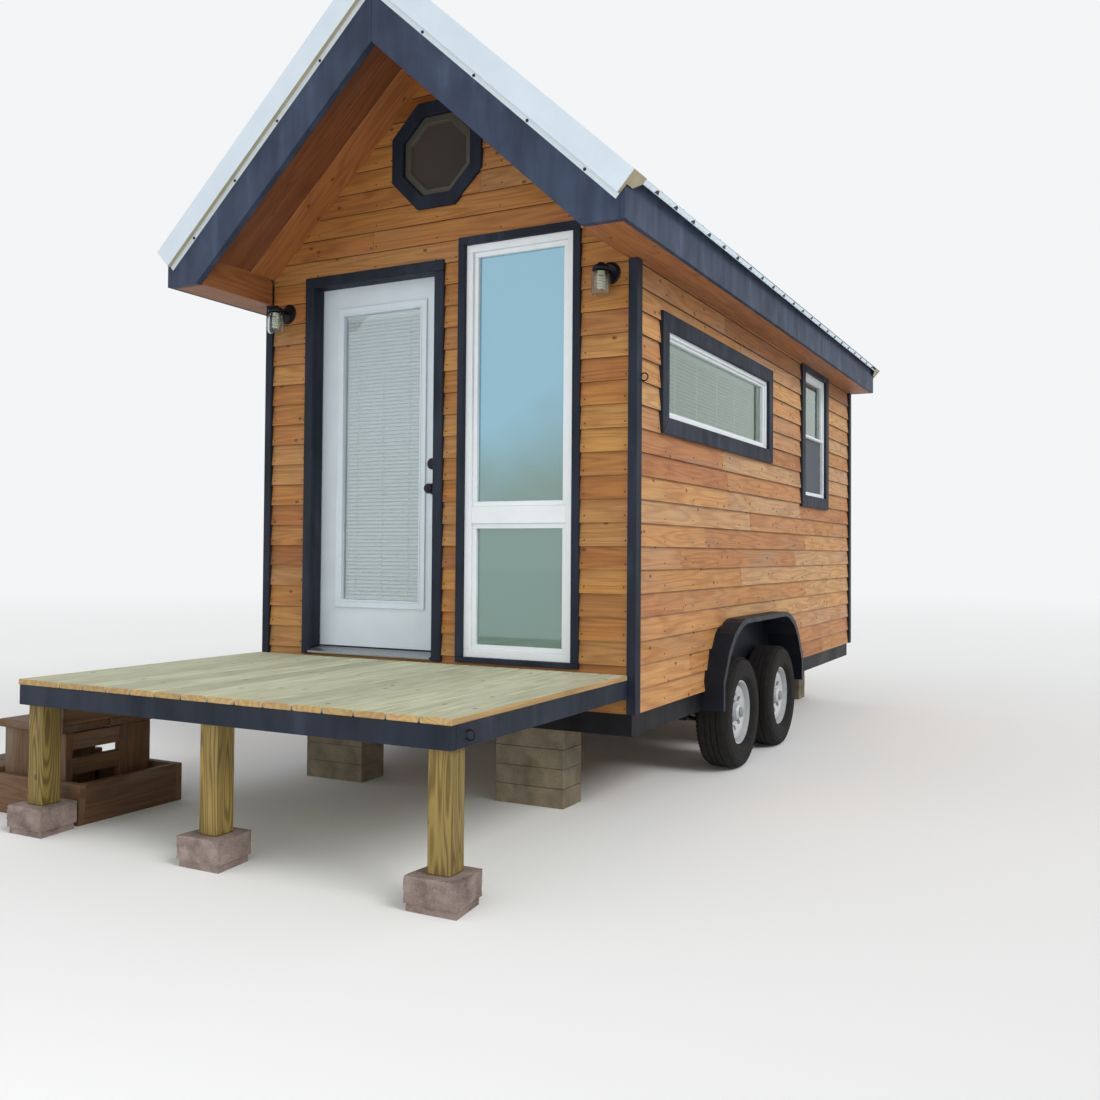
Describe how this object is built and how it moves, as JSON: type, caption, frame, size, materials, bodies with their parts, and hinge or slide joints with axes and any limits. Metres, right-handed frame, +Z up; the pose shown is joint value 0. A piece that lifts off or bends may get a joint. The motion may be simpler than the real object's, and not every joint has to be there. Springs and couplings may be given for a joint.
{
  "type": "tiny house on wheels",
  "caption": "Small gabled house with lapped wooden siding and ribbed metal roof on a two-axle trailer frame, with opening door, porch deck on posts and side steps",
  "frame": {"origin": "middle of the whole footprint at ground level", "axes": "+Z up; the door and deck are at the -Y end, the trailer's coupler at the +Y end; +X is to the right of someone facing the door"},
  "size_m": [3.385, 7.5439, 4.2363],
  "materials": {
    "black_steel": "painted satin black",
    "fender_steel": "painted satin dark grey",
    "cast": "black",
    "tyre": "dusty",
    "wheel_steel": "silver paint",
    "concrete": "rough cast concrete",
    "rough_block": "split face",
    "framing": "sawn softwood",
    "cedar": "clear oiled",
    "treated": "weathered",
    "trim_paint": "painted satin charcoal",
    "white_vinyl": "white",
    "glass": "clear",
    "bronze_vinyl": "dark",
    "door_paint": "satin white",
    "sill_aluminium": "mill",
    "dark_hardware": "dark bronze",
    "hinge_steel": "plain",
    "roof_metal": "pale galvanised",
    "roof_wood": "sawn softwood"
  },
  "bodies": {
    "house": {"frame_rails": "black_steel", "frame_crossmembers": "black_steel", "tongue": "black_steel", "coupler": "cast", "tongue_jack": "black_steel", "axles": "black_steel", "leaf_springs": "black_steel", "fenders": "fender_steel", "piers": "concrete", "floor": "framing", "front_wall_left": "framing", "front_wall_middle": "framing", "front_wall_right": "framing", "front_gable": "framing", "rear_wall": "framing", "left_wall": "framing", "right_wall": "framing", "front_siding": "cedar", "side_siding": "cedar", "rear_siding": "cedar", "corner_trims": "trim_paint", "window_casings": "trim_paint", "window_frames": "white_vinyl", "octagon_trim": "bronze_vinyl", "window_glass": "glass", "door_jambs": "trim_paint", "door_casing": "trim_paint", "door_sill": "sill_aluminium", "door_hinges": "hinge_steel", "roof_left": "roof_wood", "roof_right": "roof_wood", "roofing_left": "roof_metal", "roofing_right": "roof_metal", "ridge_cap": "roof_metal", "rake_trims": "roof_metal", "bargeboards": "trim_paint", "fascias": "trim_paint", "eave_soffits": "cedar", "overhang_soffit": "cedar", "deck_floor": "treated", "deck_rims": "trim_paint", "deck_joists": "treated", "deck_posts": "treated", "post_blocks": "rough_block", "steps": "cedar", "step_box": "cedar", "light_brackets": "dark_hardware", "light_jars": "glass"},
    "door": {"door_leaf": "door_paint", "door_glass": "glass", "door_handles": "dark_hardware"},
    "wheel_front_left": {"tyre_front_left": "tyre", "rim_front_left": "wheel_steel"},
    "wheel_front_right": {"tyre_front_right": "tyre", "rim_front_right": "wheel_steel"},
    "wheel_rear_left": {"tyre_rear_left": "tyre", "rim_rear_left": "wheel_steel"},
    "wheel_rear_right": {"tyre_rear_right": "tyre", "rim_rear_right": "wheel_steel"}
  },
  "joints": [
    {"name": "door_swing", "type": "hinge", "parent": "house", "child": "door", "pos_m": [-0.59497, -2.09945, 1.778], "axis": [0, 0, 1], "range_deg": [0, 95]},
    {"name": "wheel_front_left_spin", "type": "hinge", "parent": "house", "child": "wheel_front_left", "pos_m": [-0.91497, -0.80795, 0.334], "axis": [1, 0, 0], "continuous": true},
    {"name": "wheel_front_right_spin", "type": "hinge", "parent": "house", "child": "wheel_front_right", "pos_m": [1.43203, -0.80795, 0.334], "axis": [1, 0, 0], "continuous": true},
    {"name": "wheel_rear_left_spin", "type": "hinge", "parent": "house", "child": "wheel_rear_left", "pos_m": [-0.91497, 0.03005, 0.334], "axis": [1, 0, 0], "continuous": true},
    {"name": "wheel_rear_right_spin", "type": "hinge", "parent": "house", "child": "wheel_rear_right", "pos_m": [1.43203, 0.03005, 0.334], "axis": [1, 0, 0], "continuous": true}
  ]
}
